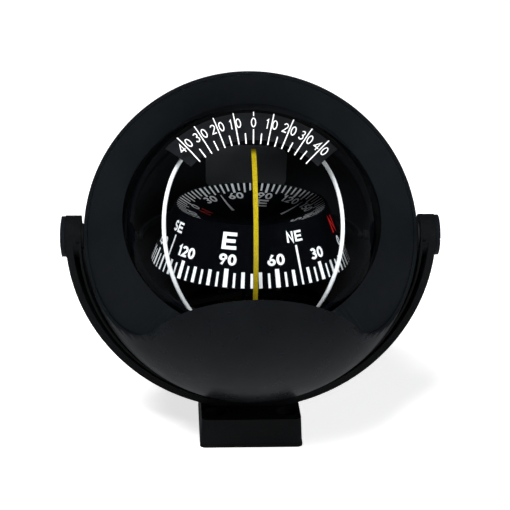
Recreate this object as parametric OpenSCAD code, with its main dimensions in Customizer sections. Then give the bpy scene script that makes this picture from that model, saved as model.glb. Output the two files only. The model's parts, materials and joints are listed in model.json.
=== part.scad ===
// Bracket-mounted sailing compass. A ball housing with a hooded mouth tilts between the
// arms of a yoke. It holds a clear-fronted globe of liquid, in which a gimballed frame
// carries three lubber lines and the compass card.
// Millimetres. Origin at the centre of the foot's base, X along the trunnions, front -Y, Z up.

/* [Bracket] */
// Height of the trunnion axis above the surface that the foot stands on
axis_h = 82; // [81.5:0.1:83]
// Inner radius of the yoke strap
yoke_r = 70.6; // [70.2:0.1:71]
// Thickness of the yoke strap
yoke_t = 2.8; // [2.4:0.1:3.2]
// Width of the yoke strap and diameter of its bosses
yoke_w = 16.8; // [15.6:0.2:17.2]
// Width of the foot along X
foot_w = 41; // [40:0.5:44]
// Depth of the foot along Y
foot_d = 46; // [39:0.5:48]
// Distance between the mounting holes along X
hole_x = 29; // [28:0.5:30]
// Distance between the mounting holes along Y
hole_y = 28; // [27:0.5:29]
// Radius of the mounting holes
hole_r = 2.2; // [1.8:0.1:2.4]

/* [Housing] */
// Outer radius of the ball housing
ball_r = 66.6; // [66.4:0.1:66.7]
// Wall of the ball housing
ball_t = 2.8; // [2.6:0.1:3]
// Elevation of the axis that the globe's window looks along, in degrees
mouth_tilt = 47; // [44:1:50]
// Lean of the rim plane from that axis, in degrees
rim_lean = 19; // [17:0.5:20]
// Distance of the rim plane from the ball's centre
rim_offset = 6; // [6:0.1:6.4]
// Distance of the flat lip from the globe's window axis
lip_drop = 51.2; // [51.2:0.1:53.2]
// Radius where the rim turns into the lip
rim_turn_r = 22; // [16.5:0.1:22.5]
// Radius of the round mouth that shows the globe
mouth_r = 50.8; // [50.4:0.1:51]

/* [Globe] */
// Outer radius of the globe
globe_r = 52.6; // [52.3:0.1:52.6]
// Wall of the globe
globe_t = 2.6; // [2.4:0.1:2.6]
// Radius of the card at the bottom of its skirt
card_r = 39.8; // [38:0.1:39.8]
// Radius of the card at its top edge
card_top_r = 30.4; // [29:0.1:31]
// Height of the card's skirt
card_h = 22.6; // [20:0.1:23]
// Heading that the card stands at, in degrees
heading = 73; // [0:1:359]

/* [Hidden] */

$fn = 96;
eps = 0.01;
far = 100; // longer than anything it cuts

// Bracket
pad_t = 1;
foot_h = 10.8;
foot_corner = 2.5;
foot_draft = 0.5;
yoke_lift = 2; // the strap's arc is centred this much above the trunnion axis
yoke_in = 67.3; // inner face of the strap's lining, beside the ball
yoke_lining = 0.9;
groove_back = -4.6; // the groove's floor, along -Y from the trunnion axis
boss_in = 67.3;
boss_out = 73.5;
seat_gap = 0.1;
strap_screw_x = 9;
strap_screw_r = 1.5;
strap_head_r = 2.6;
strap_head_z = 13.55;
grub_x = 68.5;
grub_r = 0.7;

// Clamp knobs
knob_r = 8.1;
knob_in = 73.6;
knob_edge = 75.1;
knob_out = 76;
knob_shank_r = 2.5;
knob_shank_in = 60;
run_gap = 0.06; // radial gap of a running fit

// Ball housing
rebate_r = 65.2; // the hood's edge sits in this rebate of the bowl
rebate_e = 2.8;
hood_edge_r = 65.05;
hood_edge_t = 1.6;
hood_t = 2.6;
mouth_gap = 0.2; // between the globe and the mouth's edge
mouth_s = sqrt(pow(globe_r + mouth_gap, 2) - mouth_r * mouth_r);
turn_y = rim_turn_r - lip_drop;
turn_s = (rim_offset + rim_turn_r + turn_y * sin(rim_lean)) / cos(rim_lean);
trunnion_r = 5;
trunnion_in = 57;
insert_r = 3.8;
insert_in = 58.5;
post_r = 3;
post_place = 58.4;
post_angles = [60, 120, 240, 300]; // about the window axis, from +X
post_top = -0.5;
gland_r = 4;
gland_pad_r = 7.5;
gland_bore_r = 2.2;

// Globe, stacked along the window axis
inner_r = globe_r - globe_t;
flange_r = 55.4;
clamp_s = [post_top, 1.9];
capsule_s = [1.9, 3.7];
seal_s = [3.7, 4.4];
dome_s = [4.4, 6.4];
mask_s = [8, 12.3];
mask_in = 46.4;
capsule_screw_place = 53.95;
capsule_screw_r = 0.8;
capsule_head_r = 1.3;
capsule_head_h = 1;
ear_r = 4;
ear_neck = 7;
housing_screw_r = 1.5;
housing_head_r = 2.7;
bearing_r = 2;
bearing_in = 45.2;
bearing_out = 51.8;
backing_in = 49.2;
backing_out = inner_r - 0.1;
scale_tilt = 22; // elevation of the axis that the heel scale is struck about
backing_edge = 36; // the backing starts this far along that axis
backing_half = 46; // and runs this many degrees to either side
window_tilt = 20.3; // elevation of the lamp window behind the card
window_w = 34;
window_h = 20;
window_corner = 4;
lamp_r = 2.5;
lamp_x = 8;
vent_boss_r = 16;
vent_out = 55;
vent_shelf = 51.8;
vent_r = 11;
diaphragm_r = 13.4;
fill_tilt = -12;
fill_r = 2;
fill_out = globe_r + 2;

// Gimbal, lubber frame and card, about the globe's centre
ring_in = 43.3;
ring_out = 44.6;
ring_w = 2.4;
pin_r = 0.7;
pin_gap = 0.05;
pin_out = 50.6;
roll_out = 42.7;
roll_in = 41.4;
arm_w = 5;
frame_z = -24;
frame_t = 2;
frame_out = 35.2;
frame_in = 33;
hub_r = 5;
hub_h = 5;
lubber_r = 42.05; // radius of the sphere that the lubber lines lie on
lubber_t = 0.8;
lubber_gap = 0.03; // round the lubber lines where they are let into the frame
front_lubber_w = 1.8;
front_lubber_arc = [-34.5, 69]; // elevations of its ends
side_turn = 38; // the side lines' planes are turned and tilted by these
side_tilt = 72;
side_offset = 10.1;
side_arc = [-161, -57.5];
side_r = 0.8;
weight_r = 13;
weight_h = 9;
stem_r = 1;
stem_tip = 2.4;
card_z = -9;
card_t = 0.8;
dial_sag = 8.6; // the dial is dished
dial_r = card_top_r - card_t;
dial_curve = (dial_r * dial_r + dial_sag * dial_sag) / (2 * dial_sag);
dial_z = card_z + card_h - dial_sag;
cup_r = 2.5;
cup_bore_r = 1.6;
float_r = 12;
magnet_r = 1.6;
magnet_l = 26;
magnet_apart = 13;

black = "#14171a";
satin_black = "#1b1e21";

// ---------- frames of reference ----------

// The ball's centre
module at_centre() translate([0, 0, axis_h]) children();

// Z along the window axis, -Y towards the lip
module on_axis() at_centre() rotate([90 - mouth_tilt, 0, 0]) children();

// Z out of the back at this elevation
module out_back(elevation) at_centre() rotate([elevation - 90, 0, 0]) children();

// Z outwards along the trunnion axis, on one side
module out_side(side) at_centre() rotate([0, side * 90, 0]) children();

// Disc from z1 to z2
module disc(r, z1, z2) translate([0, 0, z1]) cylinder(r = r, h = z2 - z1);

// Ring from z1 to z2
module ring(r1, r2, z1, z2) difference() {
    disc(r2, z1, z2);
    disc(r1, z1 - 1, z2 + 1);
}

// Spherical shell
module shell(r1, r2) difference() {
    sphere(r2);
    sphere(r1);
}

// Rectangle with round corners
module round_rect(w, d, r) {
    square([w - 2 * r, d], center = true);
    square([w, d - 2 * r], center = true);
    for (x = [-1, 1], y = [-1, 1]) translate([x * (w / 2 - r), y * (d / 2 - r)]) circle(r);
}

// Radius of the globe, or of another sphere, at s along the window axis
function globe_at(s, r = globe_r) = sqrt(r * r - s * s);

// Hexagonal prism from z1 to z2, r across its corners
module hexagon(r, z1, z2) translate([0, 0, z1]) cylinder(r = r, h = z2 - z1, $fn = 6);

// ---------- bracket ----------

module foot_holes() {
    for (x = [-1, 1], y = [-1, 1]) translate([x * hole_x / 2, y * hole_y / 2, 0]) {
        disc(hole_r, -1, foot_h + 2);
        translate([0, 0, pad_t + foot_h - 2.2]) cylinder(r1 = hole_r, r2 = hole_r + 2.2 + eps, h = 2.2 + eps);
    }
}

module foot_pad() color("#0d0e0f") difference() {
    linear_extrude(pad_t) round_rect(foot_w + 0.4, foot_d + 0.4, foot_corner);
    foot_holes();
}

module bracket_foot() color(satin_black) difference() {
    hull() {
        translate([0, 0, pad_t]) linear_extrude(eps) round_rect(foot_w, foot_d, foot_corner, $fn = 32);
        translate([0, 0, pad_t + foot_h - eps]) linear_extrude(eps)
            round_rect(foot_w - 2 * foot_draft, foot_d - 2 * foot_draft, foot_corner, $fn = 32);
    }
    foot_holes();
    // seat of the strap
    translate([0, 0, axis_h + yoke_lift]) rotate([90, 0, 0])
        disc(yoke_r + yoke_t + seat_gap, -yoke_w / 2 - seat_gap, yoke_w / 2 + seat_gap);
    for (x = [-1, 1]) translate([x * strap_screw_x, 0, 0]) disc(strap_screw_r + eps, pad_t + 1.5, foot_h + 2);
}

// A countersunk screw's outline, grown by gap, with room above its head when it is a hole
module strap_screw(gap, room) {
    disc(strap_screw_r + gap, pad_t + 2, strap_head_z - 1);
    translate([0, 0, strap_head_z - 1.3])
        cylinder(r1 = strap_screw_r + gap, r2 = strap_head_r + gap, h = 1.3);
    disc(strap_head_r + gap, strap_head_z - eps, strap_head_z + room);
}

module strap_screws() color("#8c9094") for (x = [-1, 1]) translate([x * strap_screw_x, 0, 0]) difference() {
    strap_screw(0, 0.1);
    hexagon(1.2, strap_head_z - 0.9, strap_head_z + 1);
}

module bracket_yoke() color(satin_black) difference() {
    union() {
        intersection() {
            difference() {
                translate([0, 0, axis_h + yoke_lift]) rotate([90, 0, 0])
                    disc(yoke_r + yoke_t, -yoke_w / 2, yoke_w / 2);
                // groove, open to the front
                difference() {
                    translate([0, 0, axis_h + yoke_lift]) rotate([90, 0, 0])
                        disc(yoke_r, groove_back, far);
                    at_centre() rotate([90, 0, 0]) disc(yoke_in + yoke_lining, -far, far);
                }
                at_centre() rotate([90, 0, 0]) disc(yoke_in, -far, far);
            }
            translate([-far, -far, axis_h - 2 * far]) cube(2 * far);
        }
        for (side = [-1, 1]) out_side(side) disc(yoke_w / 2, boss_in, boss_out);
    }
    for (side = [-1, 1]) {
        out_side(side) disc(trunnion_r + 0.6, yoke_in - 5, boss_in);
        out_side(side) disc(knob_shank_r + run_gap, boss_in - 1, boss_out + 1);
        translate([side * grub_x, 0, axis_h]) rotate([90, 0, 0]) disc(grub_r + eps, 0, yoke_w);
        translate([side * strap_screw_x, 0, 0]) strap_screw(eps, 6);
    }
}

module grub_screws() color("#4a4d50") for (side = [-1, 1])
    translate([side * grub_x, 0, axis_h]) rotate([90, 0, 0]) difference() {
        disc(grub_r, knob_shank_r + 0.3, yoke_w / 2 - 0.7);
        hexagon(0.4, yoke_w / 2 - 1.6, yoke_w);
    }

module friction_washers() color("#d8d6cc") for (side = [-1, 1]) out_side(side)
    ring(knob_shank_r + run_gap, trunnion_r + 0.3, ball_r + 0.06, boss_in - 0.06);

// Round head with a coin slot, and a shank through the boss into the insert
module clamp_knob(side) color(black) out_side(side) difference() {
    union() {
        disc(knob_r, knob_in, knob_edge);
        intersection() {
            disc(knob_r, knob_edge - eps, knob_out);
            translate([0, 0, knob_out - 40]) sphere(40);
        }
        disc(knob_shank_r, knob_shank_in, knob_in + eps);
    }
    translate([-0.8, -far, knob_out - 1.3]) cube([1.6, 2 * far, 5]);
}

module clamp_knob_left() clamp_knob(-1);

module clamp_knob_right() clamp_knob(1);

// ---------- ball housing ----------

// Side outline of what is cut from the ball's front, grown by e: a line along the rim, a line
// along the lip and the round turn between them. X is the frame's Y, Y is the window axis.
module mouth_outline(e) {
    rim_n = [-sin(rim_lean), cos(rim_lean)];
    turn = [turn_y, turn_s];
    low = turn - (rim_turn_r + e) * rim_n;
    polygon([
        [-lip_drop - e, far],
        [-lip_drop - e, turn_s],
        low,
        [far, (rim_offset - e + far * sin(rim_lean)) / cos(rim_lean)],
        [far, far]
    ]);
    translate(turn) circle(rim_turn_r + e);
}

module mouth_cut(e) rotate([90, 0, 90]) linear_extrude(2 * far, center = true) mouth_outline(e);

// One side of the edge that the outline cuts on a sphere of radius r, from lip to top
function lip_edge(r, e, n) =
    let (y = lip_drop + e)
    let (sweep = atan2(sqrt(r * r - y * y - turn_s * turn_s), y))
    [for (i = [0:n - 1]) let (x = y * tan(sweep * i / n)) [x, -y, sqrt(max(0, r * r - x * x - y * y))]];

function turn_edge(r, e, n) =
    [for (i = [0:n - 1])
        let (a = 180 + (90 + rim_lean) * i / n)
        let (y = turn_y + (rim_turn_r + e) * cos(a))
        let (s = turn_s + (rim_turn_r + e) * sin(a))
        [sqrt(r * r - y * y - s * s), y, s]];

function rim_edge(r, e, n) =
    let (d = rim_offset - e)
    let (q = sqrt(r * r - d * d))
    let (start = acos((turn_y * cos(rim_lean) + turn_s * sin(rim_lean)) / q))
    [for (i = [0:n])
        let (a = start * (1 - i / n))
        [q * sin(a),
         q * cos(a) * cos(rim_lean) - d * sin(rim_lean),
         q * cos(a) * sin(rim_lean) + d * cos(rim_lean)]];

function half_edge(r, e) = concat(lip_edge(r, e, 14), turn_edge(r, e, 12), rim_edge(r, e, 34));

// All round, the other side mirrored
function whole_edge(half) =
    concat(half, [for (i = [len(half) - 2:-1:1]) [-half[i].x, half[i].y, half[i].z]]);

// The point at radius r and height s that is turned about the axis as far as p
function turned(p, r, s) =
    let (a = atan2(p.x, -p.y))
    [r * sin(a), -r * cos(a), s];

// Behind the mouth's edge, square to the line from there to p, and clear of the globe
function back_point(p) =
    let (dr = norm([p.x, p.y]) - mouth_r)
    let (ds = p.z - mouth_s)
    let (l = norm([dr, ds]))
    let (s = mouth_s - hood_t * dr / l)
    turned(p, max(globe_at(s, globe_r + mouth_gap), mouth_r + hood_t * ds / l), s);

// Closed tube through rings of points, one after the other
module lofted_ring(rings) {
    m = len(rings[0]);
    k = len(rings);
    polyhedron(
        points = [for (r = rings) each r],
        faces = [for (j = [0:k - 1], i = [0:m - 1], h = [0, 1])
            let (a = j * m + i)
            let (b = j * m + (i + 1) % m)
            let (c = ((j + 1) % k) * m + (i + 1) % m)
            let (d = ((j + 1) % k) * m + i)
            h == 0 ? [a, b, c] : [a, c, d]]);
}

// Face between the round mouth and the ball's rim: a visor above, the lip's floor below
module hood() color(satin_black) on_axis() difference() {
    front = whole_edge(half_edge(hood_edge_r, 0));
    back = whole_edge(half_edge(hood_edge_r, hood_edge_t));
    lofted_ring([
        front,
        [for (p = front) turned(p, mouth_r, mouth_s)],
        [for (p = front) back_point(p)],
        back
    ]);
    rotate([0, 90, 0]) disc(trunnion_r + 0.1, -far, far);
}

module bowl() color(black) difference() {
    union() {
        on_axis() difference() {
            shell(ball_r - ball_t, ball_r);
            mouth_cut(0);
            intersection() {
                sphere(rebate_r);
                mouth_cut(rebate_e);
            }
        }
        for (side = [-1, 1]) out_side(side) disc(trunnion_r, trunnion_in, ball_r);
        on_axis() intersection() {
            sphere(ball_r - ball_t / 2);
            for (a = post_angles) rotate([0, 0, a]) translate([post_place, 0, 0]) disc(post_r, -45, post_top);
        }
        out_back(0) disc(gland_pad_r, ball_r - ball_t / 2, ball_r + 0.1);
    }
    for (side = [-1, 1]) out_side(side) disc(insert_r + eps, insert_in, ball_r + 1);
    on_axis() for (a = post_angles) rotate([0, 0, a]) translate([post_place, 0, 0])
        disc(housing_screw_r + eps, post_top - 12.5, post_top + 1);
    out_back(0) disc(gland_r + 0.05, ball_r - 6, ball_r + 3);
}

module trunnion_inserts() color("#b08d3c") for (side = [-1, 1]) out_side(side) difference() {
    disc(insert_r, insert_in, ball_r);
    disc(knob_shank_r + run_gap, knob_shank_in - 0.7, ball_r + 1);
}

// Seal behind the mouth's edge, on the dome's flange
module mouth_seal() color("#060607") on_axis() rotate_extrude() polygon([
    [globe_at(11) + 0.1, 11],
    [globe_at(dome_s[1]) + 0.1, dome_s[1] + 0.05],
    [flange_r - 0.8, dome_s[1] + 0.05],
    [globe_at(11) + 0.7, 10.6]
]);

// ---------- globe ----------

module capsule_screw_places() for (i = [0:7])
    rotate([0, 0, 22.5 + 45 * i]) translate([capsule_screw_place, 0, 0]) children();

module dome() color("#dfe8ee", 0.35) on_axis() difference() {
    union() {
        intersection() {
            sphere(globe_r);
            disc(far, dome_s[0], far);
        }
        disc(flange_r, dome_s[0], dome_s[1]);
    }
    sphere(inner_r);
    capsule_screw_places() {
        disc(capsule_screw_r + 0.05, 0, 12);
        disc(capsule_head_r + 0.1, dome_s[1] - capsule_head_h - 0.05, 12);
    }
}

module capsule_seal() color("#0b0b0c") on_axis() ring(inner_r + 0.4, globe_r + 0.3, seal_s[0], seal_s[1]);

// Black ring that frames the view into the globe, against the inside of the dome
module mask_ring() color("#050506") on_axis() rotate_extrude() polygon([
    [mask_in, mask_s[0]],
    [mask_in, mask_s[1] - 1.1],
    [globe_at(mask_s[1], inner_r - 0.1), mask_s[1]],
    [globe_at(10, inner_r - 0.1), 10],
    [globe_at(mask_s[0], inner_r - 0.1), mask_s[0]]
]);

module window_prism(grow) linear_extrude(far)
    round_rect(window_w + 2 * grow, window_h + 2 * grow, window_corner + grow);

module capsule() color(black) difference() {
    union() {
        on_axis() {
            intersection() {
                sphere(globe_r);
                disc(far, -far, capsule_s[1]);
            }
            disc(flange_r, capsule_s[0], capsule_s[1]);
            disc(vent_boss_r, -vent_out, -inner_r + 3);
        }
        out_back(fill_tilt) disc(4.5, inner_r + 0.5, fill_out);
    }
    at_centre() sphere(inner_r);
    on_axis() {
        capsule_screw_places() disc(capsule_screw_r + 0.05, 0, 12);
        disc(vent_r, -60, -40);
        disc(diaphragm_r + 0.1, -60, -vent_shelf);
    }
    out_back(window_tilt) window_prism(0.1);
    out_back(fill_tilt) disc(fill_r + 0.05, 40, 60);
    for (side = [-1, 1]) out_side(side) disc(bearing_r + 0.03, 40, bearing_out + 0.05);
}

// Ring with four ears that holds the globe's flanges, screwed to the bowl's posts
module clamp_ring() color("#22262a") on_axis() difference() {
    union() {
        disc(flange_r + 0.4, clamp_s[0], clamp_s[1]);
        for (a = post_angles) rotate([0, 0, a]) {
            translate([post_place, 0, 0]) disc(ear_r, clamp_s[0], clamp_s[1]);
            translate([globe_r, -ear_neck / 2, clamp_s[0]])
                cube([post_place - globe_r, ear_neck, clamp_s[1] - clamp_s[0]]);
        }
    }
    disc(globe_r + 0.3, -1, 9);
    capsule_screw_places() disc(capsule_screw_r + 0.02, -1, 9);
    for (a = post_angles) rotate([0, 0, a]) translate([post_place, 0, 0])
        disc(housing_screw_r + 0.1, -1, 9);
}

module capsule_screws() color("#9a9ea2") on_axis() capsule_screw_places() difference() {
    union() {
        disc(capsule_screw_r, clamp_s[0], dome_s[1] - 0.1);
        disc(capsule_head_r, dome_s[1] - capsule_head_h, dome_s[1] - 0.05);
    }
    hexagon(0.7, dome_s[1] - 0.7, 12);
}

module housing_screws() color("#9a9ea2") on_axis() for (a = post_angles)
    rotate([0, 0, a]) translate([post_place, 0, 0]) difference() {
        union() {
            disc(housing_screw_r, post_top - 12, clamp_s[1] + 0.5);
            disc(housing_head_r, clamp_s[1] + 0.02, clamp_s[1] + 1.9);
        }
        hexagon(1.3, clamp_s[1] + 0.8, 12);
    }

// Dark band inside the top of the dome, behind the heel scale
module scale_backing() color("#33373b") intersection() {
    at_centre() shell(backing_in, backing_out);
    at_centre() rotate([90 - scale_tilt, 0, 0]) translate([0, 0, -far + backing_edge]) linear_extrude(far)
        polygon([[0, 0], far * [sin(backing_half), cos(backing_half)], [0, 2 * far],
            far * [-sin(backing_half), cos(backing_half)]]);
    on_axis() disc(far, mask_s[1] + 0.1, far);
}

module lamp_window() color("#3b3f43") intersection() {
    at_centre() shell(inner_r, globe_r);
    out_back(window_tilt) window_prism(0);
}

module lamp_plate() color("#c9ccc6") difference() {
    intersection() {
        at_centre() shell(globe_r + 0.4, globe_r + 1.8);
        out_back(window_tilt) window_prism(3);
    }
    for (x = [-1, 1]) out_back(window_tilt) translate([x * lamp_x, 0, 0]) disc(lamp_r + 0.05, 40, 60);
}

module lamps() color("#c23b2e") for (x = [-1, 1]) out_back(window_tilt) translate([x * lamp_x, 0, 0]) {
    disc(lamp_r, globe_r, globe_r + 4);
    disc(lamp_r + 0.5, globe_r + 1.85, globe_r + 2.8);
    for (y = [-1.27, 1.27]) translate([0, y, 0]) disc(0.3, globe_r + 3.9, globe_r + 7);
}

module gimbal_bearings() color("#a83244") for (side = [-1, 1]) out_side(side) difference() {
    disc(bearing_r, bearing_in, bearing_out);
    disc(pin_r + pin_gap, bearing_in - 1, bearing_out - 0.6);
}

module expansion_diaphragm() color("#101011") on_axis() {
    ring(8, diaphragm_r, -vent_shelf - 1, -vent_shelf - 0.05);
    disc(8.5, -vent_shelf - 0.5, -vent_shelf + 0.8);
}

module diaphragm_cap() color(black) on_axis() difference() {
    disc(diaphragm_r, -vent_out + 0.1, -vent_shelf - 1.05);
    disc(vent_r, -vent_out + 1.1, -vent_shelf);
    disc(1.2, -60, -40);
}

module fill_plug() color("#b9bcbf") out_back(fill_tilt) difference() {
    union() {
        disc(fill_r, inner_r + 0.6, fill_out + 0.1);
        disc(3.6, fill_out + 0.05, fill_out + 1.5);
    }
    translate([-far, -0.4, fill_out + 0.8]) cube([2 * far, 0.8, 5]);
}

// ---------- cable inlet at the back ----------

module cable_gland() color(black) out_back(0) difference() {
    union() {
        disc(gland_r, 60, 70);
        disc(7, ball_r + 0.15, ball_r + 1.7);
    }
    disc(gland_bore_r, 50, 80);
}

module gland_nut() color(black) out_back(0) difference() {
    union() {
        hexagon(6.2, ball_r + 1.75, 71);
        translate([0, 0, 71 - eps]) cylinder(r1 = 5.3, r2 = 4.2, h = 2.2);
    }
    disc(gland_r + 0.02, 60, 70.1);
    disc(gland_bore_r, 60, 80);
}

module gland_lock_nut() color("#a9adb0") out_back(0) difference() {
    hexagon(6.6, 60.4, 63.2);
    disc(gland_r + 0.02, 50, 80);
}

// ---------- gimbal and lubber frame ----------

// Half ring round the back, on pins along X, with a bush for the roll pin
module pitch_ring() color("#1d1f22") {
    at_centre() difference() {
        union() {
            rotate_extrude(angle = 180)
                translate([ring_in, -ring_w / 2]) square([ring_out - ring_in, ring_w]);
            for (side = [-1, 1]) rotate([0, side * 90, 0]) {
                disc(ring_w / 2, ring_in, ring_out);
                disc(pin_r, ring_out - eps, pin_out);
            }
            rotate([-90, 0, 0]) disc(1.9, ring_in - 0.3, ring_out + 1);
        }
        rotate([-90, 0, 0]) disc(pin_r + pin_gap, 40, 50);
    }
}

// Arc round the X axis between two elevations of the front (side -1) or of the back (side 1)
module upright_arc(side, arc, r, t, w) {
    start = side > 0 ? 90 + arc[0] : -90 - arc[1];
    rotate([0, 90, 0]) rotate([0, 0, start]) rotate_extrude(angle = arc[1] - arc[0])
        translate([r, -w / 2]) square([t, w]);
}

module front_line(gap) upright_arc(-1, front_lubber_arc,
    lubber_r - lubber_t / 2 - gap, lubber_t + 2 * gap, front_lubber_w + 2 * gap);

module side_line(side, gap) mirror([side, 0, 0]) rotate([0, side_tilt, -side_turn])
    translate([0, 0, -side_offset]) rotate([0, 0, side_arc[0]])
        rotate_extrude(angle = side_arc[1] - side_arc[0])
            translate([sqrt(lubber_r * lubber_r - side_offset * side_offset), 0])
                circle(side_r + gap, $fn = 24);

// Ring under the card, with an arm up the back to the roll pin and a hub for the stem
module lubber_frame() color("#1d1f22") at_centre() {
    difference() {
        union() {
            ring(frame_in, frame_out, frame_z, frame_z + frame_t);
            for (a = [90, 210, 330]) rotate([0, 0, a])
                translate([hub_r - 1, -1.5, frame_z]) cube([frame_in - hub_r + 1.5, 3, frame_t]);
            disc(hub_r, frame_z, frame_z + hub_h);
        }
        disc(stem_r + 0.02, -40, 0);
        front_line(lubber_gap);
        for (side = [0, 1]) side_line(side, lubber_gap);
    }
    upright_arc(1, [-34.5, 0], roll_in, roll_out - roll_in, arm_w);
    rotate([-90, 0, 0]) {
        disc(arm_w / 2 + 0.4, roll_in, roll_out - 0.1);
        disc(pin_r, roll_in, ring_out + 0.8);
    }
}

// Flat yellow strip up the front, from the frame to above the card
module front_lubber() color("#d9b821") at_centre() front_line(0);

module side_lubbers() color("white") at_centre() for (side = [0, 1]) side_line(side, 0);

module counterweight() color("#b08d3c") at_centre() difference() {
    disc(weight_r, frame_z - weight_h, frame_z - eps);
    disc(stem_r + 0.02, -40, 0);
}

module pivot_stem() color("#b4b8bb") at_centre() {
    disc(stem_r, frame_z - weight_h + 1, -1);
    translate([0, 0, -1 - eps]) cylinder(r1 = stem_r, r2 = 0.15, h = stem_tip + 1);
}

// ---------- card ----------

module card_skirt() color(black) at_centre() rotate_extrude() polygon([
    [card_r, card_z],
    [card_top_r, card_z + card_h],
    [card_top_r - card_t, card_z + card_h],
    [card_r - card_t, card_z]
]);

module card_dial() color(black) at_centre() rotate_extrude() intersection() {
    translate([0, dial_z + dial_curve]) difference() {
        circle(dial_curve + card_t);
        circle(dial_curve);
    }
    translate([0, dial_z - card_t]) square([dial_r - 0.05, dial_sag + card_t]);
}

module card_float() color("#1a1c1e") at_centre()
    ring(cup_r + 0.05, float_r, dial_z - card_t - 7.5, dial_z - card_t - 0.1);

module jewel_cup() color("#7c2438") at_centre() difference() {
    disc(cup_r, dial_z - card_t - 4.5, dial_z - card_t - 0.05);
    disc(cup_bore_r, dial_z - card_t - 5, stem_tip + 0.3);
}

module card_magnets() color("#5b5f63") at_centre() rotate([0, 0, 90 + heading]) for (side = [-1, 1])
    translate([0, side * magnet_apart / 2, dial_z - card_t - 7.6 - magnet_r]) rotate([0, 90, 0])
        disc(magnet_r, -magnet_l / 2, magnet_l / 2);

// ---------- drawing ----------

bracket_yoke();
bracket_foot();
foot_pad();
strap_screws();
grub_screws();
friction_washers();
clamp_knob_left();
clamp_knob_right();
bowl();
hood();
mouth_seal();
dome();
capsule();
capsule_seal();
mask_ring();
clamp_ring();
capsule_screws();
housing_screws();
trunnion_inserts();
scale_backing();
lamp_window();
lamp_plate();
lamps();
gimbal_bearings();
expansion_diaphragm();
diaphragm_cap();
fill_plug();
cable_gland();
gland_nut();
gland_lock_nut();
pitch_ring();
lubber_frame();
front_lubber();
side_lubbers();
counterweight();
pivot_stem();
card_skirt();
card_dial();
card_float();
card_magnets();
jewel_cup();
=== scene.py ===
"""Looks of a bracket-mounted sailing compass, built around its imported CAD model.

The housing, bracket, globe, gimbal and card are CAD nodes with procedural materials. The
hood is the CAD hood with its edges rounded, and the grey band behind the heel scale is the
CAD's, cut shorter. The printed scales on the card and the dome are ink pieces, drawn here
by a small stroke font.
Metres, in the CAD's frame: X along the trunnions, the compass faces -Y, Z up.
"""

import json
import math

import bmesh
import bpy
from mathutils import Matrix, Vector


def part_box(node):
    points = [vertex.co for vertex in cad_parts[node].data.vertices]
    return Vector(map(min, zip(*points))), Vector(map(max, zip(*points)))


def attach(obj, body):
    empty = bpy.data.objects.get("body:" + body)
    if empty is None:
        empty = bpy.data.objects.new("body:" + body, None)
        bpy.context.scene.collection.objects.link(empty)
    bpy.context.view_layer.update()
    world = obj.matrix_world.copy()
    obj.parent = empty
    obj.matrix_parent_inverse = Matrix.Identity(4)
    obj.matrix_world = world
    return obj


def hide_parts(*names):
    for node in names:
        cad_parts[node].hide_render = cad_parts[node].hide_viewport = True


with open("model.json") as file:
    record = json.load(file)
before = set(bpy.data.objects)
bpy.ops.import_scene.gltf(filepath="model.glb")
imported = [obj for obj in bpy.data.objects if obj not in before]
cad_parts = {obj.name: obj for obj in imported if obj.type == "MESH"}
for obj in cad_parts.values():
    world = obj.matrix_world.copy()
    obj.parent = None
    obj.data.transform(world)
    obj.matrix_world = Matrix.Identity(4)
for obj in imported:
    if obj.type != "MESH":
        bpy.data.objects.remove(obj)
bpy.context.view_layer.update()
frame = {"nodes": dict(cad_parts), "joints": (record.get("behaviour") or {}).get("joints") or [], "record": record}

MM = 0.001
NODES = frame["nodes"]
JOINTS = {j["name"]: j for j in frame["joints"]}
CENTRE = Vector(JOINTS["tilt"]["pos_m"])

# ---------- sizes read from the frame ----------


def half_width(node):
    """Half of a node's width along X."""
    low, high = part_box(node)
    return (high.x - low.x) / 2


SKIRT_LOW, SKIRT_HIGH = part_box("card_skirt")
SKIRT_R = half_width("card_skirt")
DIAL_LOW, DIAL_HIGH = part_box("card_dial")
DIAL_R = half_width("card_dial")
CARD_WALL = 0.8 * MM  # of the skirt and the dial
RIM_R = DIAL_R + CARD_WALL  # of the skirt's top edge
DIAL_SAG = DIAL_HIGH.z - DIAL_LOW.z - CARD_WALL  # depth of the dial's dish
DIAL_CURVE = (DIAL_R ** 2 + DIAL_SAG ** 2) / (2 * DIAL_SAG)  # radius of the dish
DOME_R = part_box("dome")[1].z - CENTRE.z

HEADING = 73  # degrees that the card stands at
SCALE_TILT = math.radians(22.4)  # elevation of the axis of the heel scale
SCALE_YAW = math.radians(-2.2)  # the dome sits turned a little in its seat
SCALE_TURN = math.radians(0.7)  # of the scale about its own axis
SCALE_AXIS = Vector((math.sin(SCALE_YAW) * math.cos(SCALE_TILT),
                     -math.cos(SCALE_YAW) * math.cos(SCALE_TILT), math.sin(SCALE_TILT)))
BACKING_CUT = 17.4 * MM  # the grey band ends this far along that axis
INK_LIFT = 0.06 * MM  # ink stands this far off what it is printed on
INK_STEP = 1.0 * MM  # longest facet of an ink line, so that it follows a curve
SAME_POINT = 1e-6  # metres; points closer than this are one


# ---------- materials ----------


def new_material(name):
    """A node material, with its tree and its Principled shader."""
    mat = bpy.data.materials.new(name)
    mat.use_nodes = True
    nt = mat.node_tree
    return mat, nt, nt.nodes["Principled BSDF"]


def link(nt, a, b):
    nt.links.new(a, b)


def noise(nt, scale, detail=3.0, rough=0.6):
    """A noise texture in object space, with scale in cells per metre."""
    coord = nt.nodes.new("ShaderNodeTexCoord")
    tex = nt.nodes.new("ShaderNodeTexNoise")
    tex.inputs["Scale"].default_value = scale
    tex.inputs["Detail"].default_value = detail
    tex.inputs["Roughness"].default_value = rough
    link(nt, coord.outputs["Object"], tex.inputs["Vector"])
    return tex.outputs["Fac"]


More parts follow.
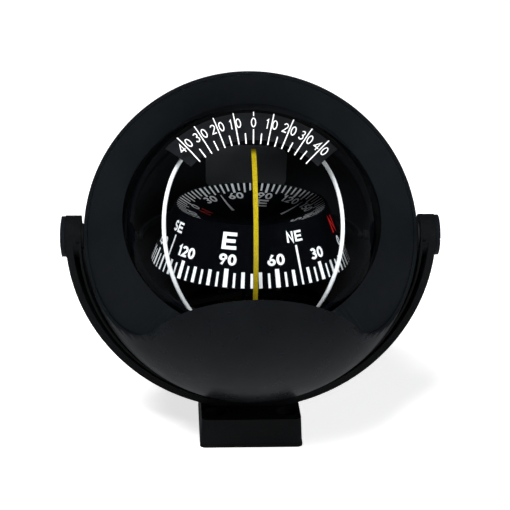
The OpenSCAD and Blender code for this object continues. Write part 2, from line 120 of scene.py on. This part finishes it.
def ramp(nt, fac, stops):
    """A colour ramp over (place, colour) stops."""
    node = nt.nodes.new("ShaderNodeValToRGB")
    els = node.color_ramp.elements
    while len(els) < len(stops):
        els.new(0.5)
    for el, (place, colour) in zip(els, stops):
        el.position = place
        el.color = (*colour, 1)
    link(nt, fac, node.inputs["Fac"])
    return node.outputs["Color"]


def spread(nt, fac, low, high, at=(0.3, 0.7)):
    """fac mapped from the span at to low..high."""
    node = nt.nodes.new("ShaderNodeMapRange")
    node.inputs["From Min"].default_value = at[0]
    node.inputs["From Max"].default_value = at[1]
    node.inputs["To Min"].default_value = low
    node.inputs["To Max"].default_value = high
    link(nt, fac, node.inputs["Value"])
    return node.outputs["Result"]


def combine(nt, a, b, how):
    """Two colours multiplied or added."""
    node = nt.nodes.new("ShaderNodeMix")
    node.data_type = "RGBA"
    node.blend_type = how
    node.inputs["Factor"].default_value = 1.0
    link(nt, a, node.inputs["A"])
    link(nt, b, node.inputs["B"])
    return node.outputs["Result"]


def bump(nt, height, shader, strength, distance):
    """Roughens a shader's normal with a height, distance metres deep."""
    node = nt.nodes.new("ShaderNodeBump")
    node.inputs["Strength"].default_value = strength
    node.inputs["Distance"].default_value = distance
    link(nt, height, node.inputs["Height"])
    link(nt, node.outputs["Normal"], shader.inputs["Normal"])


def shade(colour, factor):
    """A colour made lighter or darker."""
    return tuple(c * factor for c in colour)


CLOUD_SCALE = 55  # cells per metre
GLOSS_SCALE = 140


def moulded(name, colour, rough, grain=2600, depth=0.02, vary=0.12, specular=0.5, metallic=0.0):
    """Moulded, painted or turned surface: fine grain, cloudy colour and uneven gloss."""
    mat, nt, bsdf = new_material(name)
    cloud = noise(nt, CLOUD_SCALE, 4)
    link(nt, ramp(nt, cloud, [(0.3, shade(colour, 1 - vary)), (0.7, shade(colour, 1 + vary))]),
         bsdf.inputs["Base Color"])
    gloss = noise(nt, GLOSS_SCALE, 5)
    link(nt, spread(nt, gloss, rough * 0.85, rough * 1.15), bsdf.inputs["Roughness"])
    bsdf.inputs["Specular IOR Level"].default_value = specular
    bsdf.inputs["Metallic"].default_value = metallic
    bump(nt, noise(nt, grain, 2), bsdf, 0.35, depth * MM)
    return mat


def speckled(name, colour, light, rough, grain, depth, specular):
    """Powder coat: a pebbled skin with lighter specks where its tops catch the light."""
    mat, nt, bsdf = new_material(name)
    pebble = noise(nt, grain, 3, 0.7)
    link(nt, ramp(nt, pebble, [(0.35, colour), (0.62, shade(colour, 1.5)), (0.75, light)]),
         bsdf.inputs["Base Color"])
    link(nt, spread(nt, pebble, rough * 1.2, rough * 0.8), bsdf.inputs["Roughness"])
    bsdf.inputs["Specular IOR Level"].default_value = specular
    bump(nt, pebble, bsdf, 0.6, depth * MM)
    return mat


def glitter(name, colour, deep, grain=4200):
    """Fluorescent paint with flakes in it."""
    mat, nt, bsdf = new_material(name)
    flakes = noise(nt, grain, 1, 0.4)
    link(nt, ramp(nt, flakes, [(0.32, deep), (0.5, colour), (0.68, shade(colour, 1.25))]),
         bsdf.inputs["Base Color"])
    link(nt, spread(nt, flakes, 0.5, 0.25), bsdf.inputs["Roughness"])
    bump(nt, flakes, bsdf, 0.4, 0.03 * MM)
    return mat


def ink(name, colour, vary=0.06):
    """Printed ink, slightly uneven where the screen laid it down."""
    mat, nt, bsdf = new_material(name)
    patches = noise(nt, 1500, 3)
    link(nt, ramp(nt, patches, [(0.3, shade(colour, 1 - vary)), (0.6, colour)]), bsdf.inputs["Base Color"])
    link(nt, spread(nt, patches, 0.55, 0.4), bsdf.inputs["Roughness"])
    bsdf.inputs["Specular IOR Level"].default_value = 0.3
    return mat


def clear(name, tint, ior=1.45, rough=0.015):
    """Polished acrylic that shows what is behind it unbent, as through the liquid."""
    mat = bpy.data.materials.new(name)
    mat.use_nodes = True
    nt = mat.node_tree
    nt.nodes.remove(nt.nodes["Principled BSDF"])
    out = nt.nodes["Material Output"]
    through = nt.nodes.new("ShaderNodeBsdfTransparent")
    through.inputs["Color"].default_value = (*tint, 1)
    gloss = nt.nodes.new("ShaderNodeBsdfGlossy")
    gloss.inputs["Color"].default_value = (0.4, 0.4, 0.4, 1)
    link(nt, spread(nt, noise(nt, 90, 4), rough, rough * 3), gloss.inputs["Roughness"])
    fresnel = nt.nodes.new("ShaderNodeFresnel")
    fresnel.inputs["IOR"].default_value = ior
    side = nt.nodes.new("ShaderNodeNewGeometry")
    outer = nt.nodes.new("ShaderNodeMath")  # the wetted inner face hardly mirrors
    outer.operation = "SUBTRACT"
    outer.use_clamp = True
    link(nt, fresnel.outputs["Fac"], outer.inputs[0])
    link(nt, side.outputs["Backfacing"], outer.inputs[1])
    mix = nt.nodes.new("ShaderNodeMixShader")
    link(nt, outer.outputs["Value"], mix.inputs["Fac"])
    link(nt, through.outputs["BSDF"], mix.inputs[1])
    link(nt, gloss.outputs["BSDF"], mix.inputs[2])
    link(nt, mix.outputs["Shader"], out.inputs["Surface"])
    return mat


# Each: colour, roughness, grain in cells per metre, its depth in mm, how cloudy, specular, metallic.
MOULDED = {
    "housing_black": ((0.0042, 0.0052, 0.0062), 0.30, 1800, 0.012, 0.15, 0.22),
    "hood_black": ((0.0045, 0.0056, 0.0068), 0.55, 5200, 0.02, 0.12, 0.2),
    "knob_black": ((0.005, 0.006, 0.008), 0.4, 2600, 0.02, 0.15, 0.15),
    "seal_rubber": ((0.004, 0.004, 0.004), 0.75, 3000, 0.03, 0.2, 0.2),
    "inner_black": ((0.0075, 0.0082, 0.0094), 0.7, 2600, 0.01, 0.2, 0.05),
    "card_black": ((0.0014, 0.0017, 0.0024), 0.75, 5200, 0.01, 0.15, 0.04),
    "window_grey": ((0.05, 0.052, 0.055), 0.5, 2600, 0.02, 0.1, 0.2),
    "backing_grey": ((0.011, 0.0118, 0.013), 0.6, 2600, 0.01, 0.12, 0.1),
    "grey_plastic": ((0.014, 0.0145, 0.0155), 0.5, 2600, 0.02, 0.15, 0.3),
    "washer_nylon": ((0.02, 0.02, 0.02), 0.5, 2600, 0.02, 0.1),
    "steel": ((0.42, 0.43, 0.44), 0.3, 3200, 0.02, 0.08, 0.5, 1.0),
    "brass": ((0.62, 0.43, 0.16), 0.28, 3200, 0.02, 0.1, 0.5, 1.0),
    "magnet_alloy": ((0.09, 0.09, 0.095), 0.5, 3600, 0.04, 0.2, 0.5, 1.0),
    "circuit_board": ((0.012, 0.09, 0.03), 0.4, 1500, 0.02, 0.2),
    "lamp_red": ((0.4, 0.02, 0.012), 0.15, 900, 0.005, 0.1),
    "jewel": ((0.25, 0.012, 0.04), 0.12, 900, 0.005, 0.15),
    "lubber_white": ((0.86, 0.87, 0.88), 0.4, 2600, 0.02, 0.03, 0.4),
}
MATERIALS = {name: moulded(name, *values) for name, values in MOULDED.items()}
MATERIALS["bracket_black"] = speckled("bracket_black", (0.003, 0.0034, 0.0038), (0.02, 0.021, 0.022),
                                      rough=0.5, grain=2400, depth=0.05, specular=0.12)
MATERIALS["lubber_yellow"] = glitter("lubber_yellow", (0.41, 0.31, 0.009), (0.17, 0.118, 0.0015))
MATERIALS["clear_dome"] = clear("clear_dome", (0.97, 0.98, 0.985))
WHITE_INK = ink("ink_white", (0.85, 0.86, 0.88))
GREY_INK = ink("ink_grey", (0.36, 0.37, 0.38))
RED_INK = ink("ink_red", (0.45, 0.012, 0.012))
DULL_RED_INK = ink("ink_dull_red", (0.2, 0.01, 0.01))

# Nodes that look unlike the rest of their slot
OWN_MATERIAL = {"lamp_window": "window_grey", "scale_backing": "backing_grey",
                "gimbal_bearings": "inner_black", "mask_ring": "card_black"}


def finish_cad_nodes():
    """Gives each CAD node the material of its slot in the record, or its own."""
    for part in frame["record"]["subparts"]:
        name = part["node"]
        data = NODES[name].data
        data.materials.clear()
        data.materials.append(MATERIALS[OWN_MATERIAL.get(name, part["material_slot"])])
        for face in data.polygons:
            face.material_index = 0


def weld(node, reach):
    """Merges a CAD node's points that lie within reach, with a modifier."""
    modifier = NODES[node].modifiers.new("weld", "WELD")
    modifier.merge_threshold = reach


def soften(node, width, segments=2, angle=35):
    """Rounds a CAD node's sharp edges with modifiers, so that they catch the light."""
    weld(node, SAME_POINT)
    bevel = NODES[node].modifiers.new("bevel", "BEVEL")
    bevel.width = width
    bevel.segments = segments
    bevel.limit_method = "ANGLE"
    bevel.angle_limit = math.radians(angle)
    bevel.harden_normals = True


# ---------- pieces ----------


def make_piece(name, bm, mats, body):
    """Turns a bmesh into a piece that rides on a CAD body."""
    mesh = bpy.data.meshes.new(name)
    bm.to_mesh(mesh)
    bm.free()
    for mat in mats:
        mesh.materials.append(mat)
    obj = bpy.data.objects.new(name, mesh)
    bpy.context.scene.collection.objects.link(obj)
    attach(obj, body)
    return obj


def copy_of(node):
    """A bmesh of a CAD node, with its facets joined up."""
    bm = bmesh.new()
    bm.from_mesh(NODES[node].data)
    bmesh.ops.remove_doubles(bm, verts=bm.verts, dist=SAME_POINT)
    return bm


def make_hood(rounding=0.35 * MM, sharp_angle=math.radians(38)):
    """The CAD hood with its mouth and rim edges rounded over."""
    bm = copy_of("hood")
    bmesh.ops.recalc_face_normals(bm, faces=bm.faces)
    sharp = [e for e in bm.edges if len(e.link_faces) == 2 and e.calc_face_angle() > sharp_angle]
    bmesh.ops.bevel(bm, geom=sharp, offset=rounding, segments=3, profile=0.6, affect="EDGES",
                    clamp_overlap=True)
    for face in bm.faces:
        face.smooth = True
    hood = make_piece("hood_face", bm, [MATERIALS["hood_black"]], "housing")
    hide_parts("hood")


def make_backing():
    """The grey band behind the heel scale, cut short so that the black ring shows beyond it."""
    bm = copy_of("scale_backing")
    everything = bm.verts[:] + bm.edges[:] + bm.faces[:]
    cut = bmesh.ops.bisect_plane(bm, geom=everything, plane_co=CENTRE + SCALE_AXIS * BACKING_CUT,
                                 plane_no=SCALE_AXIS, clear_inner=True)
    rim = [part for part in cut["geom_cut"] if isinstance(part, bmesh.types.BMEdge)]
    bmesh.ops.triangle_fill(bm, edges=rim, use_beauty=True)
    bmesh.ops.recalc_face_normals(bm, faces=bm.faces)
    backing = make_piece("backing_band", bm, [MATERIALS["backing_grey"]], "housing")
    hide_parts("scale_backing")


# ---------- stroke font ----------


def arc(cx, cy, rx, ry, start, end, n=14):
    """Points of an elliptic arc, angles in degrees."""
    return [(cx + rx * math.cos(math.radians(start + (end - start) * i / n)),
             cy + ry * math.sin(math.radians(start + (end - start) * i / n))) for i in range(n + 1)]


# Each glyph: width, then the middle lines of its strokes. A capital is 1 high.
GLYPHS = {
    "0": (0.62, [arc(0.31, 0.5, 0.22, 0.41, 90, 450, 28)]),
    "1": (0.36, [[(0.07, 0.74), (0.22, 0.91), (0.22, 0.0)]]),
    "2": (0.6, [arc(0.3, 0.69, 0.21, 0.22, 165, -38, 16) + [(0.12, 0.09), (0.54, 0.09)]]),
    "3": (0.6, [arc(0.28, 0.71, 0.18, 0.2, 150, -80, 14) + arc(0.28, 0.29, 0.21, 0.21, 80, -155, 16)]),
    "4": (0.64, [[(0.44, 0.0), (0.44, 0.9), (0.06, 0.27), (0.6, 0.27)]]),
    "5": (0.6, [[(0.52, 0.91), (0.17, 0.91), (0.13, 0.53)] + arc(0.28, 0.32, 0.22, 0.24, 112, -150, 16)]),
    "6": (0.62, [arc(0.31, 0.3, 0.21, 0.22, 140, 500, 24) + [(0.42, 0.96)]]),
    "7": (0.56, [[(0.04, 0.91), (0.5, 0.91), (0.18, 0.0)]]),
    "8": (0.6, [arc(0.3, 0.7, 0.17, 0.2, -90, 270, 22), arc(0.3, 0.28, 0.21, 0.21, 90, 450, 22)]),
    "9": (0.62, [arc(0.31, 0.7, 0.21, 0.22, -40, 320, 24) + [(0.2, 0.04)]]),
    "E": (0.8, [[(0.78, 0.9), (0.12, 0.9), (0.12, 0.1), (0.78, 0.1)], [(0.12, 0.5), (0.72, 0.5)]]),
    "N": (0.72, [[(0.12, 0.0), (0.12, 0.94), (0.6, 0.06), (0.6, 1.0)]]),
    "S": (0.6, [arc(0.3, 0.7, 0.19, 0.21, 25, 262, 14) + arc(0.3, 0.29, 0.21, 0.2, 88, -155, 14)]),
    "W": (0.98, [[(0.06, 1.0), (0.28, 0.08), (0.49, 0.86), (0.7, 0.08), (0.92, 1.0)]]),
}


def ribbon(points, width):
    """Pairs of points on both sides of a polyline, mitred at its corners."""
    pairs = []
    closed = math.dist(points[0], points[-1]) < 1e-6
    least = 0.45  # keeps the mitre of a very sharp corner short
    pts = [Vector(p) for p in points]
    for i, p in enumerate(pts):
        before = pts[i - 1] if i else (pts[-2] if closed else None)
        after = pts[i + 1] if i + 1 < len(pts) else (pts[1] if closed else None)
        a = (p - before).normalized() if before is not None else None
        b = (after - p).normalized() if after is not None else None
        if a is None:
            a = b
        if b is None:
            b = a
        along = (a + b).normalized()
        side = Vector((-along.y, along.x))
        reach = width / 2 / max(least, side.dot(Vector((-a.y, a.x))))
        pairs.append((p + side * reach, p - side * reach))
    return pairs


class Print:
    """Ink on a surface. place(u, v) gives the point for a position in the print's own plane."""

    def __init__(self):
        self.bm = bmesh.new()

    def strip(self, pairs, place, mat=0):
        """A ribbon between pairs of points, cut short enough to follow a curved surface."""
        rows = []
        for (a, b), (c, d) in zip(pairs, pairs[1:]):
            a, b, c, d = (Vector(p) for p in (a, b, c, d))
            steps = max(1, math.ceil(max((c - a).length, (d - b).length) / INK_STEP))
            rows += [(a.lerp(c, i / steps), b.lerp(d, i / steps)) for i in range(steps)]
        rows.append(pairs[-1])
        rows = [(self.bm.verts.new(place(*a)), self.bm.verts.new(place(*b))) for a, b in rows]
        for (a, b), (c, d) in zip(rows, rows[1:]):
            face = self.bm.faces.new((a, b, d, c))
            face.material_index = mat
            face.smooth = True

    def bar(self, low, high, width, place, top_width=None):
        """A straight bar across the middle of the print, from v = low to v = high."""
        top_width = width if top_width is None else top_width
        pairs = [(Vector((-w / 2, v)), Vector((w / 2, v))) for v, w in ((low, width), (high, top_width))]
        self.strip(pairs, place)

    def text(self, words, v, height, weight, place, mat=0, gap=0.1, squeeze=1.0):
        """words in the middle at v, height tall, with strokes of weight times the height."""
        total = sum(GLYPHS[c][0] for c in words) + gap * (len(words) - 1)
        x = -total / 2
        for c in words:
            wide, strokes = GLYPHS[c]
            for stroke in strokes:
                pts = [(x + px, py - 0.5) for px, py in stroke]
                pairs = ribbon(pts, weight)
                scaled = [tuple(Vector((q.x * height * squeeze, v + q.y * height)) for q in pair)
                          for pair in pairs]
                self.strip(scaled, place, mat)
            x += wide + gap

    def finish(self, name, mats, body):
        """Makes the print a piece."""
        bmesh.ops.recalc_face_normals(self.bm, faces=self.bm.faces)
        make_piece(name, self.bm, mats, body)


NAMES = {0: "N", 45: "NE", 90: "E", 135: "SE", 180: "S", 225: "SW", 270: "W", 315: "NW"}


def skirt_place(bearing):
    """Places print on the skirt at a bearing: u along the rim, v up the slope from its bottom."""
    slope = Vector((RIM_R - SKIRT_R, SKIRT_HIGH.z - SKIRT_LOW.z))
    length = slope.length
    middle = (SKIRT_R + RIM_R) / 2

    def place(u, v):
        r = SKIRT_R + slope.x * v / length
        a = math.radians(HEADING - bearing) + u / middle
        out = Vector((math.sin(a), -math.cos(a), 0))
        lift = out * slope.y / length + Vector((0, 0, -slope.x / length))
        return out * r + Vector((0, 0, SKIRT_LOW.z + slope.y * v / length)) + lift * INK_LIFT

    return place


def print_skirt():
    """Front-reading scale on the card's skirt: ticks, numbers and the compass points."""
    art = Print()
    foot = 0.3 * MM
    ticks = {30: (7.4 * MM, 1.6 * MM), 10: (6.4 * MM, 1.25 * MM), 5: (5.9 * MM, 0.85 * MM)}
    pointer_top, pointer_widths = 15.6 * MM, (0.75 * MM, 0.95 * MM)
    number = {"v": 10.9 * MM, "height": 4.2 * MM, "weight": 0.21, "gap": 0.07, "squeeze": 1.22}
    letter = {"v": 18.1 * MM, "height": 6.5 * MM, "weight": 0.21, "squeeze": 1.22}
    pair = {"v": 19.0 * MM, "height": 4.2 * MM, "weight": 0.2, "squeeze": 1.1}
    for bearing in range(0, 360, 5):
        place = skirt_place(bearing)
        if bearing % 45 == 0 and bearing % 90:
            art.bar(foot, pointer_top, pointer_widths[0], place, pointer_widths[1])
            art.text(NAMES[bearing], place=place, **pair)
            continue
        top, width = ticks[next(step for step in ticks if bearing % step == 0)]
        art.bar(foot, top, width, place)
        if bearing % 30 == 0:
            art.text(str(bearing), place=place, **number)
        if bearing in NAMES:
            art.text(NAMES[bearing], place=place, mat=int(bearing == 0), **letter)
    art.finish("skirt_print", [WHITE_INK, RED_INK], "card")


def dial_place(bearing):
    """Places print on the dished dial at a bearing: u along the rim, v outwards from its centre."""
    top = DIAL_HIGH.z - DIAL_SAG + DIAL_CURVE

    def place(u, v):
        r = math.hypot(u, v)
        a = math.radians(bearing - HEADING) + math.atan2(u, v)
        z = top - math.sqrt(DIAL_CURVE ** 2 - r * r)
        return Vector((r * math.sin(a), r * math.cos(a), z + INK_LIFT))

    return place


def print_dial():
    """Far-side scale on the dished dial."""
    art = Print()
    rim = DIAL_R - 0.15 * MM
    long_tick, short_tick = 4.6 * MM, 3.6 * MM
    wide_tick, thin_tick = 1.0 * MM, 0.75 * MM
    number = {"v": 23.0 * MM, "height": 3.5 * MM, "weight": 0.17, "gap": 0.07, "squeeze": 1.4}
    letter = {"v": 18.5 * MM, "height": 4.4 * MM, "weight": 0.2, "squeeze": 1.4}
    pointer, pointer_widths = (14 * MM, 24.3 * MM), (1.3 * MM, 0.35 * MM)
    for bearing in range(0, 360, 5):
        place = dial_place(bearing)
        length = short_tick if bearing % 10 else long_tick
        art.bar(rim - length, rim, thin_tick if bearing % 30 else wide_tick, place)
        if bearing % 30 == 0:
            art.text(str(bearing), place=place, **number)
        if bearing % 90 == 0:
            art.text(NAMES[bearing], place=place, mat=int(bearing == 0), **letter)
        elif bearing in NAMES:
            art.bar(*pointer, pointer_widths[0], place, pointer_widths[1])
    art.finish("dial_print", [GREY_INK, DULL_RED_INK], "card")


def scale_place(turn):
    """Places print on the dome at a heel of turn degrees: v outwards from the scale's axis."""
    right = Vector((math.cos(SCALE_YAW), math.sin(SCALE_YAW), 0))
    up = SCALE_AXIS.cross(right)
    sphere_r = DOME_R + INK_LIFT

    def place(u, v):
        rho = math.hypot(u, v)
        a = math.radians(turn) + SCALE_TURN + math.atan2(u, v)
        out = up * math.cos(a) + right * math.sin(a)
        return CENTRE + SCALE_AXIS * math.sqrt(sphere_r ** 2 - rho ** 2) + out * rho

    return place


def print_heel_scale():
    """Heel scale on the dome: fine ticks to 40 degrees either side, struck about a raised axis."""
    art = Print()
    inner, short, long_end = 31.0 * MM, 35.5 * MM, 45.7 * MM
    zero_gap = (37.2 * MM, 43.6 * MM)  # the line at 0 stops short of its digit
    line_w = 0.45 * MM
    digits = {"v": 40.4 * MM, "height": 4.9 * MM, "weight": 0.11, "squeeze": 0.75}
    for turn in range(-40, 41, 5):
        place = scale_place(turn)
        if turn == 0:
            art.bar(inner, zero_gap[0], line_w, place)
            art.bar(zero_gap[1], long_end, line_w, place)
            art.text("0", place=place, **digits)
        elif turn % 10 == 0:
            art.bar(inner, long_end, line_w, place)
            art.text(str(abs(turn)), place=place, gap=0.3, **digits)
        else:
            art.bar(inner, short, line_w, place)
    art.finish("heel_scale_print", [WHITE_INK], "housing")


# ---------- studio ----------


def make_floor():
    """White table that glows a little, so that it stays white in a dim room."""
    side = 12
    bpy.ops.mesh.primitive_plane_add(size=side, location=(0, 0, 0))
    floor = bpy.context.object
    floor.name = "studio_floor"
    mat, _, bsdf = new_material("floor_white")
    bsdf.inputs["Base Color"].default_value = (0.9, 0.9, 0.9, 1)
    bsdf.inputs["Roughness"].default_value = 0.9
    bsdf.inputs["Specular IOR Level"].default_value = 0.0
    bsdf.inputs["Emission Color"].default_value = (1, 1, 1, 1)
    bsdf.inputs["Emission Strength"].default_value = 0.72
    floor.data.materials.append(mat)
    floor.visible_glossy = False  # the black plastic mirrors the room and not the table


def grey(value):
    """An even grey."""
    return value, value, value


def make_world():
    """A room dark in front and overhead, brighter behind, with light coming up off the table."""
    world = bpy.data.worlds.new("studio")
    bpy.context.scene.world = world
    world.use_nodes = True
    nt = world.node_tree
    coord = nt.nodes.new("ShaderNodeTexCoord")
    split = nt.nodes.new("ShaderNodeSeparateXYZ")
    link(nt, coord.outputs["Generated"], split.inputs["Vector"])
    depth = spread(nt, split.outputs["Y"], 0, 1, (-1, 1))
    height = spread(nt, split.outputs["Z"], 0, 1, (-1, 1))
    walls = ramp(nt, depth, [(0.0, (0.02, 0.021, 0.023)), (0.3, (0.03, 0.031, 0.034)),
                             (0.5, (0.12, 0.125, 0.135)), (0.85, (0.16, 0.165, 0.175))])
    ceiling = ramp(nt, height, [(0.4, grey(1)), (0.5, grey(0.35)), (0.9, grey(0.12))])
    table = ramp(nt, height, [(0.0, grey(0.2)), (0.14, grey(0.015)), (0.3, grey(0))])
    room = combine(nt, walls, ceiling, "MULTIPLY")
    link(nt, combine(nt, room, table, "ADD"), nt.nodes["Background"].inputs["Color"])


def soft_light(name, place, size, power):
    """Area light aimed at the compass, from place relative to its middle. No gloss mirrors it."""
    data = bpy.data.lights.new(name, "AREA")
    data.shape = "RECTANGLE"
    data.size, data.size_y = size
    data.energy = power
    obj = bpy.data.objects.new(name, data)
    bpy.context.scene.collection.objects.link(obj)
    obj.location = CENTRE + Vector(place)
    obj.rotation_euler = (CENTRE - obj.location).to_track_quat("-Z", "Y").to_euler()
    obj.visible_glossy = False


def make_camera():
    """A camera 18 degrees above the trunnions and 3 degrees to the left, rolled a little."""
    elevation, azimuth, roll = math.radians(18), math.radians(-3), math.radians(0.6)
    distance, frame_width, sensor = 0.68, 204 * MM, 36
    back = Vector((math.sin(azimuth) * math.cos(elevation),
                   -math.cos(azimuth) * math.cos(elevation), math.sin(elevation)))
    right = Vector((math.cos(azimuth), math.sin(azimuth), 0))
    up = back.cross(right)
    aside, below = 1.8 * MM, 7.8 * MM  # of the trunnions' middle
    aim = CENTRE + right * aside - up * below
    data = bpy.data.cameras.new("camera")
    data.sensor_width = sensor
    data.lens = sensor * distance / frame_width
    camera = bpy.data.objects.new("camera", data)
    bpy.context.scene.collection.objects.link(camera)
    axes = Matrix((right, up, back)).transposed()
    turned = axes @ Matrix.Rotation(roll, 3, "Z")
    camera.matrix_world = Matrix.Translation(aim + back * distance) @ turned.to_4x4()
    bpy.context.scene.camera = camera


# ---------- the scene ----------

make_camera()
finish_cad_nodes()
make_hood()
make_backing()
EDGE_ROUNDING = {"bracket_yoke": 0.6 * MM, "bracket_foot": 1.0 * MM, "clamp_knob_left": 0.5 * MM,
                 "clamp_knob_right": 0.5 * MM}
for node, width in EDGE_ROUNDING.items():
    soften(node, width)
BOWL_SLIVER = 0.08 * MM
weld("bowl", BOWL_SLIVER)
print_skirt()
print_dial()
print_heel_scale()
make_floor()
make_world()
soft_light("key", place=(-0.35, -0.6, 1.05), size=(0.7, 0.5), power=26)
soft_light("fill", place=(0.8, -0.8, 0.3), size=(0.5, 0.7), power=7)
bpy.context.scene.view_settings.view_transform = "Standard"
